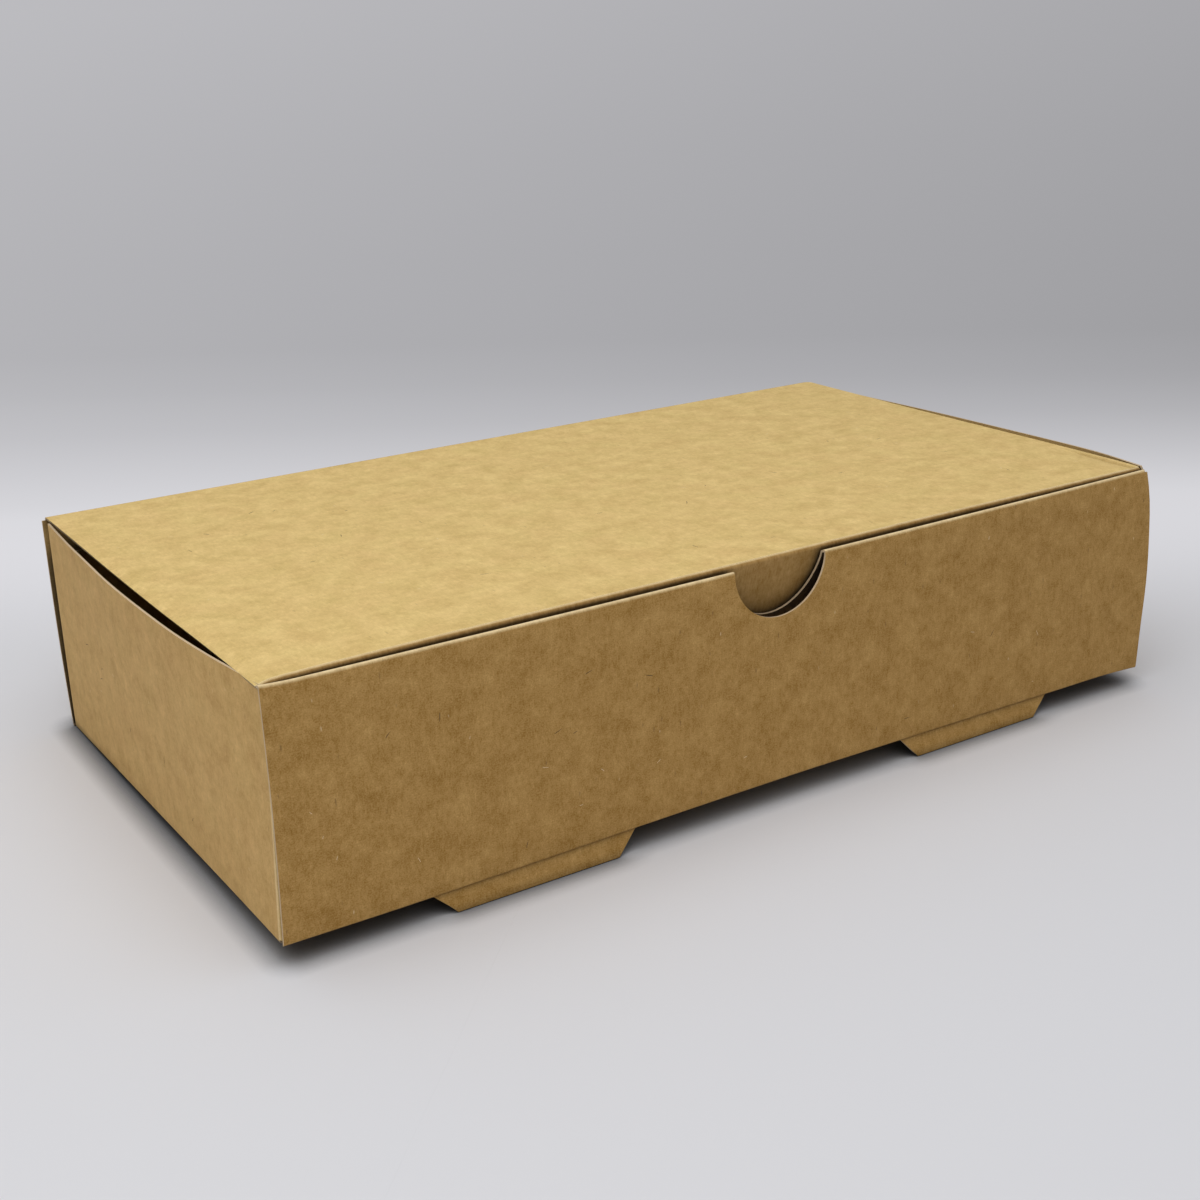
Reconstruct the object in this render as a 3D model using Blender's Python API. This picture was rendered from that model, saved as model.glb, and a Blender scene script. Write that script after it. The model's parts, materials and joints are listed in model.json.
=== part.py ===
"""Sandwich box: a carton folded from one blank of kraft board.

Metres, +Z up, +X along the length, front wall towards -Y. The origin is the middle of the
footprint, level with the lower edges of the lock tabs that the front of the box stands on.
Every panel is a sheet whose middle surface is bent, bowed and placed, then given the board's
thickness. Neighbouring panels stop a crease gap short of each other.
"""
import math

import bmesh
import bpy
from mathutils import Vector

# Board and creases
BOARD = 0.0005
INNER_FOLD_RADIUS = 0.0003
CREASE_GAP = 0.0003
HINGE_PLAY = 0.00025

# Overall sizes of the folded box
LENGTH = 0.229
BASE_DEPTH = 0.1235
RIDGE_HEIGHT = 0.0503
SIDE_DROP = 0.0001
LID_RISE = 0.0007
BACK_LEAN = 0.003

# How far the hand-folded walls bow, and how steeply the bow grows or fades
SIDE_BOW = 0.0025
SIDE_BOW_POWER = 1.3
BACK_BOW = 0.001
FRONT_BOW = 0.0008
INNER_BULGE = 0.004
INNER_BULGE_POWER = 4

# Thumb notch through both layers of the front wall
NOTCH_RADIUS = 0.012

# Lock tabs at the foot of the front inner wall
TAB_SPACING = 0.120
TAB_ROOT_WIDTH = 0.048
TAB_TIP_WIDTH = 0.0375
TAB_DROP = 0.005
TAB_SHOULDER = 0.002
SLOT_CLEARANCE = 0.0005

# Flaps on the side walls
FRONT_FLAP_LENGTH = 0.030
FRONT_FLAP_TOP_GAP = 0.0006
REAR_FLAP_LENGTH = 0.035
REAR_FLAP_HEIGHT = 0.042
FLAP_TAPER = 0.004

# Lid and its tuck flap
LID_REVEAL = 0.0006
LID_END_GAP = 0.0003
TUCK_DEPTH = 0.025
TUCK_LEAN = math.radians(14)
TUCK_END_GAP = 0.0007
TUCK_CORNER_RADIUS = 0.012

# Fineness of bends and bows
BEND_STEPS = 5
BOW_STEPS = 10
NOTCH_STEPS = 24
CORNER_STEPS = 8
WALL_STEPS = 8
SHARP_ANGLE = math.radians(35)

# Places worked out from the sizes
HALF_BOARD = BOARD / 2
FOLD_RADIUS = INNER_FOLD_RADIUS + HALF_BOARD
OUTER_FOLD_RADIUS = INNER_FOLD_RADIUS + BOARD
QUARTER_ARC = FOLD_RADIUS * math.pi / 2
HINGE_SETBACK = HALF_BOARD + HINGE_PLAY
HALF_LENGTH = LENGTH / 2
RIDGE_WIDTH = 3 * BOARD + 2 * CREASE_GAP
UNDERSIDE = TAB_DROP
RIDGE_TOP = UNDERSIDE + RIDGE_HEIGHT
SIDE_HEIGHT = RIDGE_HEIGHT - SIDE_DROP
SIDE_TOP = UNDERSIDE + SIDE_HEIGHT
RIDGE_BEND = RIDGE_TOP - OUTER_FOLD_RADIUS
LAYER_TOP = RIDGE_BEND - CREASE_GAP
FRONT_Y = (FRONT_BOW - BASE_DEPTH - BACK_LEAN) / 2
BASE_AXIS_Y = FRONT_Y + BASE_DEPTH - HALF_BOARD
BASE_AXIS_Z = UNDERSIDE + HALF_BOARD
LID_AXIS_Y = BASE_AXIS_Y + BACK_LEAN
LID_AXIS_Z = RIDGE_TOP + LID_RISE - HALF_BOARD
INNER_HALF_LENGTH = HALF_LENGTH - BOARD - CREASE_GAP
INNER_WALL_Y = FRONT_Y + RIDGE_WIDTH - HALF_BOARD
INNER_WALL_FOOT = UNDERSIDE + BOARD + CREASE_GAP
FRONT_CORNER_Y = FRONT_Y + BOARD + CREASE_GAP + OUTER_FOLD_RADIUS
REAR_CORNER_Y = BASE_AXIS_Y - HALF_BOARD - CREASE_GAP - OUTER_FOLD_RADIUS
CORNER_X = HALF_LENGTH - OUTER_FOLD_RADIUS
FLAP_FOOT = UNDERSIDE + BOARD + CREASE_GAP
FRONT_FLAP_HEIGHT = LAYER_TOP - FRONT_FLAP_TOP_GAP - FLAP_FOOT
TUCK_AXIS_Y = FRONT_Y + RIDGE_WIDTH + LID_REVEAL + OUTER_FOLD_RADIUS
TUCK_AXIS_Z = LID_AXIS_Z - FOLD_RADIUS
LID_HALF_LENGTH = HALF_LENGTH - BOARD - LID_END_GAP

# Finishes: colour, roughness
KRAFT_LID = (0.640, 0.470, 0.215), 0.78
KRAFT_WALL = (0.560, 0.400, 0.180), 0.80
KRAFT_INSIDE = (0.520, 0.365, 0.165), 0.85


def spread(start, end, steps):
    """Evenly spaced values from start to end, both included."""
    return [start + (end - start) * i / steps for i in range(steps + 1)]


def fold(distance, turn):
    """Run and rise of a point that travels this distance into a bend of this angle."""
    angle = min(distance / FOLD_RADIUS, turn)
    beyond = max(distance - FOLD_RADIUS * turn, 0)
    run = FOLD_RADIUS * math.sin(angle) + beyond * math.cos(angle)
    rise = FOLD_RADIUS * (1 - math.cos(angle)) + beyond * math.sin(angle)
    return run, rise


def travel(rise, turn):
    """Distance along a bend and the sheet after it that reaches this rise."""
    return FOLD_RADIUS * turn + (rise - FOLD_RADIUS * (1 - math.cos(turn))) / math.sin(turn)


def front_bow(x, z):
    """How far the front wall stands out of its straight line."""
    height = min(max((z - UNDERSIDE) / RIDGE_HEIGHT, 0), 1)
    return FRONT_BOW * (1 - (x / HALF_LENGTH) ** 2) * height


def inner_bulge(x, z):
    """How far the front inner wall bulges into the box between its ridge and its foot."""
    foot = INNER_WALL_FOOT + TAB_SHOULDER
    height = min(max((z - foot) / (LAYER_TOP - foot), 0), 1)
    return INNER_BULGE * (1 - (x / HALF_LENGTH) ** INNER_BULGE_POWER) * math.sin(math.pi * height)


def kraft(name, finish):
    """A board material with its own name."""
    colour, roughness = finish
    material = bpy.data.materials.new(name)
    material.use_nodes = True
    shader = material.node_tree.nodes["Principled BSDF"]
    shader.inputs["Base Color"].default_value = (*colour, 1)
    shader.inputs["Roughness"].default_value = roughness
    shader.inputs["Metallic"].default_value = 0
    return material


def sheet(name, stations, levels, place, finish, pivot=(0, 0, 0), parent=None):
    """A panel of board.

    stations are places along its crease, levels(station) are distances across it, and
    place(station, level) is the point of the board's middle there. The object's origin is
    its pivot, which lies on its crease if the panel turns.
    """
    pivot = Vector(pivot)
    grid = bmesh.new()
    columns = [[grid.verts.new(Vector(place(u, v)) - pivot) for v in levels(u)] for u in stations]
    for near, far in zip(columns, columns[1:]):
        for i in range(len(near) - 1):
            grid.faces.new((near[i], far[i], far[i + 1], near[i + 1]))
    bmesh.ops.recalc_face_normals(grid, faces=grid.faces)
    flat = bpy.data.meshes.new(name)
    grid.to_mesh(flat)
    grid.free()

    panel = bpy.data.objects.new(name, flat)
    bpy.context.scene.collection.objects.link(panel)
    board = panel.modifiers.new("board", "SOLIDIFY")
    board.thickness = BOARD
    board.offset = 0
    board.use_even_offset = True
    board.use_quality_normals = True
    solid = bpy.data.meshes.new_from_object(panel.evaluated_get(bpy.context.evaluated_depsgraph_get()))
    panel.modifiers.clear()
    panel.data = solid
    bpy.data.meshes.remove(flat)
    solid.name = name
    solid.shade_smooth()
    solid.set_sharp_from_angle(angle=SHARP_ANGLE)
    solid.materials.append(kraft(name + "_board", finish))

    if parent is not None:
        panel.parent = parent
        pivot = pivot - parent.matrix_world.translation
    panel.location = pivot
    bpy.context.view_layer.update()
    return panel


def notch_stations(level):
    """Places along X where the notch's edge is resolved, up to where it meets this level."""
    start = math.asin((RIDGE_TOP - level) / NOTCH_RADIUS)
    return [-NOTCH_RADIUS * math.cos(a) for a in spread(start, math.pi - start, NOTCH_STEPS)]


def notched_top(x, level):
    """Upper edge of a front layer: level, but cut down along the half-round notch."""
    if abs(x) >= NOTCH_RADIUS:
        return level
    return min(level, RIDGE_TOP - math.sqrt(NOTCH_RADIUS**2 - x**2))


def base_panel():
    """The floor. Its front edge steps back where the lock tabs pass through."""
    side = CORNER_X - CREASE_GAP
    front = FRONT_Y + OUTER_FOLD_RADIUS + CREASE_GAP
    slot = FRONT_Y + RIDGE_WIDTH + CREASE_GAP
    rear = BASE_AXIS_Y - HINGE_SETBACK
    half_slot = TAB_ROOT_WIDTH / 2 + SLOT_CLEARANCE
    slope = slot - front
    stations, fronts = [-side], [front]
    for centre in (-TAB_SPACING / 2, TAB_SPACING / 2):
        stations += [centre - half_slot - slope, centre - half_slot, centre + half_slot]
        stations += [centre + half_slot + slope]
        fronts += [front, slot, slot, front]
    stations.append(side)
    fronts.append(front)
    edge = dict(zip(stations, fronts))
    return sheet(
        "base_panel",
        stations,
        lambda x: [edge[x], rear],
        lambda x, y: (x, y, BASE_AXIS_Z),
        KRAFT_INSIDE,
    )


def front_outer_wall():
    """Outer layer of the roll-over front, bent up from the base's front crease."""
    bow = spread(-HALF_LENGTH, -NOTCH_RADIUS, BOW_STEPS)[:-1]
    stations = bow + notch_stations(LAYER_TOP) + [-x for x in reversed(bow)]
    start_y = FRONT_Y + OUTER_FOLD_RADIUS

    def levels(x):
        height = travel(notched_top(x, LAYER_TOP) - BASE_AXIS_Z, math.pi / 2)
        return spread(0, QUARTER_ARC, BEND_STEPS)[:-1] + spread(QUARTER_ARC, height, WALL_STEPS)

    def place(x, distance):
        run, rise = fold(distance, math.pi / 2)
        z = BASE_AXIS_Z + rise
        return x, start_y - run - front_bow(x, z), z

    return sheet("front_outer_wall", stations, levels, place, KRAFT_WALL)


def front_ridge(name, side):
    """Narrow top of the roll from the notch to one end, with a bend along both of its edges."""
    flat = RIDGE_WIDTH - 2 * OUTER_FOLD_RADIUS

    def place(x, distance):
        if distance <= QUARTER_ARC + flat / 2:
            rise, run = fold(distance, math.pi / 2)
        else:
            rise, run = fold(2 * QUARTER_ARC + flat - distance, math.pi / 2)
            run = RIDGE_WIDTH - BOARD - run
        z = RIDGE_BEND + rise
        return x, FRONT_Y + HALF_BOARD + run - front_bow(x, z), z

    across = spread(0, QUARTER_ARC, BEND_STEPS)
    across += [QUARTER_ARC + flat + distance for distance in across]
    stations = spread(side * NOTCH_RADIUS, side * INNER_HALF_LENGTH, BOW_STEPS)
    return sheet(name, stations, lambda x: across, place, KRAFT_WALL)


def front_inner_wall():
    """Inner layer of the roll: notched above, with the two lock tabs through the base below."""
    half = INNER_HALF_LENGTH
    root, tip = TAB_ROOT_WIDTH / 2, TAB_TIP_WIDTH / 2
    tabs = []
    for centre in (-TAB_SPACING / 2, TAB_SPACING / 2):
        tabs += [centre - root, centre - tip, centre, centre + tip, centre + root]
    notch = notch_stations(LAYER_TOP)
    stations = sorted({-half, (tabs[0] - half) / 2, *tabs, *notch, (tabs[-1] + half) / 2, half})

    def foot(x):
        slant = (abs(abs(x) - TAB_SPACING / 2) - tip) / (root - tip)
        return INNER_WALL_FOOT * min(max(slant, 0), 1)

    def levels(x):
        top = notched_top(x, LAYER_TOP)
        return [foot(x)] + spread(INNER_WALL_FOOT + TAB_SHOULDER, top, BOW_STEPS)

    def place(x, z):
        return x, INNER_WALL_Y + inner_bulge(x, z) - front_bow(x, z), z

    return sheet("front_inner_wall", stations, levels, place, KRAFT_INSIDE)


def side_wall(name, side):
    """Single-layer end wall, bent up from the base and bowed outwards towards its raw top edge."""
    front = FRONT_CORNER_Y + CREASE_GAP
    rear = REAR_CORNER_Y - CREASE_GAP
    middle, half = (front + rear) / 2, (rear - front) / 2
    top = travel(SIDE_TOP - BASE_AXIS_Z, math.pi / 2)
    across = spread(0, QUARTER_ARC, BEND_STEPS)[:-1] + spread(QUARTER_ARC, top, WALL_STEPS)

    def place(y, distance):
        run, rise = fold(distance, math.pi / 2)
        height = rise / SIDE_HEIGHT
        bow = SIDE_BOW * (1 - ((y - middle) / half) ** 2) * height**SIDE_BOW_POWER
        return side * (CORNER_X + run + bow), y, BASE_AXIS_Z + rise

    return sheet(name, spread(front, rear, 2 * BOW_STEPS), lambda y: across, place, KRAFT_WALL)


def corner_flap(name, side, corner_y, towards, length, height):
    """Flap on a side wall's end, bent round the corner and laid along the front or back wall."""
    full = travel(length, math.pi / 2)
    across = spread(0, QUARTER_ARC, BEND_STEPS) + [full - FLAP_TAPER, full]

    def place(share, distance):
        run, rise = fold(distance, math.pi / 2)
        cut = FLAP_TAPER if distance == full else 0
        z = FLAP_FOOT + cut + share * (height - 2 * cut)
        x = side * (HALF_LENGTH - HALF_BOARD - rise)
        return x, corner_y + towards * run, z

    pivot = (side * CORNER_X, corner_y, FLAP_FOOT)
    return sheet(name, [0, 1], lambda share: across, place, KRAFT_INSIDE, pivot)


def front_corner_flap(name, side):
    """Flap held inside the front roll, following the roll's bow."""
    flap = corner_flap(name, side, FRONT_CORNER_Y, -1, FRONT_FLAP_LENGTH, FRONT_FLAP_HEIGHT)
    for vertex in flap.data.vertices:
        world = vertex.co + flap.location
        vertex.co.y -= front_bow(world.x, world.z)
    return flap


def rear_corner_flap(name, side):
    """Flap tucked inside the back wall. It turns on its bend."""
    return corner_flap(name, side, REAR_CORNER_Y, 1, REAR_FLAP_LENGTH, REAR_FLAP_HEIGHT)


def back_wall():
    """Single-layer back wall, leaning and bowed back between its two hinge creases."""
    rise = LID_AXIS_Z - BASE_AXIS_Z
    height = math.hypot(BACK_LEAN, rise)

    def place(x, distance):
        share = distance / height
        bow = BACK_BOW * math.sin(math.pi * share)
        return x, BASE_AXIS_Y + share * BACK_LEAN + bow, BASE_AXIS_Z + share * rise

    return sheet(
        "back_wall",
        [-HALF_LENGTH, HALF_LENGTH],
        lambda x: spread(HINGE_SETBACK, height - HINGE_SETBACK, WALL_STEPS),
        place,
        KRAFT_WALL,
        pivot=(0, BASE_AXIS_Y, BASE_AXIS_Z),
    )


def lid_panel(wall):
    """The top, hinged on the back wall. Its raw ends lie just inside the side walls."""
    return sheet(
        "lid_panel",
        [-LID_HALF_LENGTH, LID_HALF_LENGTH],
        lambda x: [TUCK_AXIS_Y + CREASE_GAP, LID_AXIS_Y - HINGE_SETBACK],
        lambda x, y: (x, y, LID_AXIS_Z),
        KRAFT_LID,
        pivot=(0, LID_AXIS_Y, LID_AXIS_Z),
        parent=wall,
    )


def tuck_flap(lid):
    """The lid's front flap, leaning into the box, with its two free corners rounded."""
    turn = math.pi / 2 + TUCK_LEAN
    arc = FOLD_RADIUS * turn
    straight = LID_HALF_LENGTH - TUCK_END_GAP - TUCK_CORNER_RADIUS
    rounding = [
        straight + TUCK_CORNER_RADIUS * math.sin(a) for a in spread(0, math.pi / 2, CORNER_STEPS)
    ]

    def levels(x):
        beyond = max(abs(x) - straight, 0)
        cut = TUCK_CORNER_RADIUS - math.sqrt(max(TUCK_CORNER_RADIUS**2 - beyond**2, 0))
        return spread(0, arc, BEND_STEPS) + [TUCK_DEPTH - cut]

    def place(x, distance):
        run, drop = fold(distance, turn)
        return x, TUCK_AXIS_Y - run, LID_AXIS_Z - drop

    return sheet(
        "lid_tuck_flap",
        [-x for x in reversed(rounding)] + rounding,
        levels,
        place,
        KRAFT_WALL,
        pivot=(0, TUCK_AXIS_Y, TUCK_AXIS_Z),
        parent=lid,
    )


def build():
    """Every panel of the carton."""
    base_panel()
    front_outer_wall()
    front_inner_wall()
    for name, side in (("left", -1), ("right", 1)):
        front_ridge("front_ridge_" + name, side)
        side_wall(name + "_side_wall", side)
        front_corner_flap(name + "_front_corner_flap", side)
        rear_corner_flap(name + "_rear_corner_flap", side)
    tuck_flap(lid_panel(back_wall()))


for old in list(bpy.data.objects):
    bpy.data.objects.remove(old)
build()
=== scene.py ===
"""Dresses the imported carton: folded kraft board, its cut edges, stray fibres, and the studio.

Every panel is a sheet of board. Its middle surface is traced through its creases, pressed
out of true as a hand-folded carton is, and given the board's thickness by Geometry Nodes.
"""

import json
import logging
import math
from dataclasses import dataclass, field, replace
from enum import Enum
from typing import Optional, Sequence

import bmesh
import bpy
from mathutils import Matrix, Vector


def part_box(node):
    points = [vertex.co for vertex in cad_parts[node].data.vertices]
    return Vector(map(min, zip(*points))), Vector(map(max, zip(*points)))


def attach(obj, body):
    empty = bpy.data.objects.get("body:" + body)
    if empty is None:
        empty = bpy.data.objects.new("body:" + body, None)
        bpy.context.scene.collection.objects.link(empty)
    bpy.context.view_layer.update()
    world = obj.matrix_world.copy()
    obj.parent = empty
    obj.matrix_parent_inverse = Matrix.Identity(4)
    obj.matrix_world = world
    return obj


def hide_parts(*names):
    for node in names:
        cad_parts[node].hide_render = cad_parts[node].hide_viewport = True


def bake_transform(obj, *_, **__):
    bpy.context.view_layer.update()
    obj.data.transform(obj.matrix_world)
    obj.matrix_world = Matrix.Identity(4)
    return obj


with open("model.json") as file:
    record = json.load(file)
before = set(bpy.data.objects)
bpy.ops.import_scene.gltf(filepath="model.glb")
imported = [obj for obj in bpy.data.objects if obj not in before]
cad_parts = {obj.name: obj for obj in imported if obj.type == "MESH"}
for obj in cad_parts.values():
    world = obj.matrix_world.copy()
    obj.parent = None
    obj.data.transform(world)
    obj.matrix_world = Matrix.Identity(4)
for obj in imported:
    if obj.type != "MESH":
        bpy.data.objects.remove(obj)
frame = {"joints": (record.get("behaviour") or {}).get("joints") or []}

LOG = logging.getLogger("carton")
MM = 0.001
BLANK = "blank"
# Where the back wall, lid, tuck flap and corner flaps start on the flat blank.
BACK_START, LID_START, TUCK_START, FLAP_START = 0.12, 0.17, 0.3, 0.2
# How far a corner flap's tip is cut to a slant.
FLAP_TAPER = 4 * MM
# Play in comparisons of places, and between points that are one.
HAIR = 1e-6
# Vector operations whose result is a number.
NUMBER_RESULTS = ("DOT_PRODUCT", "LENGTH")

Object, Material, Tree = bpy.types.Object, bpy.types.Material, bpy.types.NodeTree
Node, Socket = bpy.types.Node, bpy.types.NodeSocket
Colour = tuple[float, float, float]
Place = tuple[float, float, float]
Flat = tuple[float, float]
Spot = tuple[Vector, Flat]
Column = list[Optional[Spot]]
Bend = tuple[float, float, float]


class Side(Enum):
    """An end of the carton, by the sign of X."""

    LEFT = -1
    RIGHT = 1

    @property
    def word(self) -> str:
        """The end's name in node and piece names."""
        return self.name.lower()


def spread(start: float, end: float, steps: int) -> list[float]:
    """Evenly spaced values from start to end, one more than the steps."""
    return [start + (end - start) * i / steps for i in range(steps + 1)]


def clamp(value: float, low: float = 0.0, high: float = 1.0) -> float:
    """The value, held between low and high."""
    return min(max(value, low), high)


def placed(name: str, data: bpy.types.ID) -> Object:
    """Adds an object to the scene.

    Args:
        name: Its name.
        data: Its mesh, light or camera.

    Returns:
        The object.
    """
    thing = bpy.data.objects.new(name, data)
    bpy.context.scene.collection.objects.link(thing)
    return thing


@dataclass(frozen=True)
class Run:
    """A straight stretch of a cross-section."""

    length: float
    steps: int = 1


@dataclass(frozen=True)
class Turn:
    """A bend in a cross-section, left-handed where its angle is positive."""

    angle: float
    radius: float
    steps: int = 8


def trace(start: Flat, heading: float, moves: Sequence[Run | Turn]) -> list[Bend]:
    """Follows a cross-section of the board through its runs and bends.

    Args:
        start: Where it starts, in the plane of the section.
        heading: Its first direction in radians, from the section's first axis.
        moves: The runs and turns, in order.

    Returns:
        Its points as (first, second, distance travelled).
    """
    a, b = start
    distance = 0.0
    points = [(a, b, distance)]
    for move in moves:
        if isinstance(move, Run):
            for _ in range(move.steps):
                step = move.length / move.steps
                a += step * math.cos(heading)
                b += step * math.sin(heading)
                distance += step
                points.append((a, b, distance))
        else:
            step = move.angle / move.steps
            chord = 2 * move.radius * math.sin(abs(step) / 2)
            for _ in range(move.steps):
                heading += step / 2
                a += chord * math.cos(heading)
                b += chord * math.sin(heading)
                heading += step / 2
                distance += move.radius * abs(step)
                points.append((a, b, distance))
    return points


@dataclass(frozen=True)
class Profile:
    """Offsets measured along a line, joined by a smooth curve."""

    knots: tuple[Flat, ...]

    @classmethod
    def of(cls, *knots: Flat) -> "Profile":
        """A profile from knots in millimetres."""
        return cls(tuple((place * MM, offset * MM) for place, offset in knots))

    def at(self, place: float) -> float:
        """Reads the curve.

        Args:
            place: Where along the line. Beyond the last knots the curve stays level.

        Returns:
            The offset there.
        """
        knots = self.knots
        place = clamp(place, knots[0][0], knots[-1][0])
        last = next(i for i in range(1, len(knots)) if place <= knots[i][0])
        (a, low), (b, high) = knots[last - 1], knots[last]
        before, after = knots[max(last - 2, 0)], knots[min(last + 1, len(knots) - 1)]
        leaving = (high - before[1]) / (b - before[0])
        arriving = (after[1] - low) / (after[0] - a)
        t = (place - a) / (b - a)
        ends = low * (2 * t**3 - 3 * t**2 + 1) + high * (3 * t**2 - 2 * t**3)
        return ends + (b - a) * (leaving * (t**3 - 2 * t**2 + t) + arriving * (t**3 - t**2))


@dataclass(frozen=True)
class Plan:
    """Places and sizes of the carton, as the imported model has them, in metres."""

    board: float
    half_length: float
    ridge_half: float
    lid_half: float
    front: float
    underside: float
    ridge_top: float
    side_top: float
    front_corner: float
    rear_corner: float
    corner_axis: float
    base_axis: Flat
    lid_axis: Flat
    tuck_axis: Flat
    notch: float
    ridge_width: float = 1.7 * MM
    soft: float = 0.55 * MM
    tight: float = 0.3 * MM
    tab_spacing: float = 120 * MM
    tab_root: float = 48 * MM
    tab_tip: float = 37.5 * MM
    tab_shoulder: float = 2 * MM
    slot_play: float = 0.5 * MM
    crease_gap: float = 0.3 * MM

    @classmethod
    def from_frame(cls) -> "Plan":
        """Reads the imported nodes' boxes and the joints' places.

        Returns:
            The plan.
        """
        joints = {j["name"]: j["pos_m"] for j in frame["joints"]}
        base_low, base_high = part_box("base_panel")
        board = base_high.z - base_low.z
        outer = cls.soft + board / 2
        front = base_low.y - outer - cls.crease_gap
        ridge_low, ridge_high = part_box("front_ridge_right")
        return cls(
            board=board,
            half_length=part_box("front_outer_wall")[1].x,
            ridge_half=ridge_high.x,
            lid_half=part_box("lid_panel")[1].x,
            front=front,
            underside=base_low.z,
            ridge_top=ridge_high.z,
            side_top=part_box("left_side_wall")[1].z,
            front_corner=front + board + cls.crease_gap + outer,
            rear_corner=joints["left_rear_flap_crease"][1],
            corner_axis=joints["right_rear_flap_crease"][0],
            base_axis=tuple(joints["back_wall_crease"][1:]),
            lid_axis=tuple(joints["lid_crease"][1:]),
            tuck_axis=tuple(joints["tuck_flap_crease"][1:]),
            notch=ridge_low.x,
        )

    @property
    def floor_level(self) -> float:
        """Height of the middle of the base's board."""
        return self.underside + self.board / 2

    @property
    def wall_x(self) -> float:
        """Place along X of the middle of the side walls' board."""
        return self.half_length - self.board / 2

    @property
    def ridge_bend(self) -> float:
        """Height at which the roll starts to bend over."""
        return self.ridge_top - self.tight - self.board / 2

    @property
    def lean(self) -> float:
        """Angle that the back wall leans back by."""
        return math.atan2(self.lid_axis[0] - self.base_axis[0], self.lid_axis[1] - self.base_axis[1])

    @property
    def base_rear(self) -> float:
        """Where the base meets its rear crease."""
        return self.base_axis[0] - self.soft * math.tan((math.pi / 2 - self.lean) / 2)

    @property
    def lid_rear(self) -> float:
        """Where the lid meets its rear crease."""
        return self.lid_axis[0] - self.soft * math.tan((math.pi / 2 + self.lean) / 2)


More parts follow.
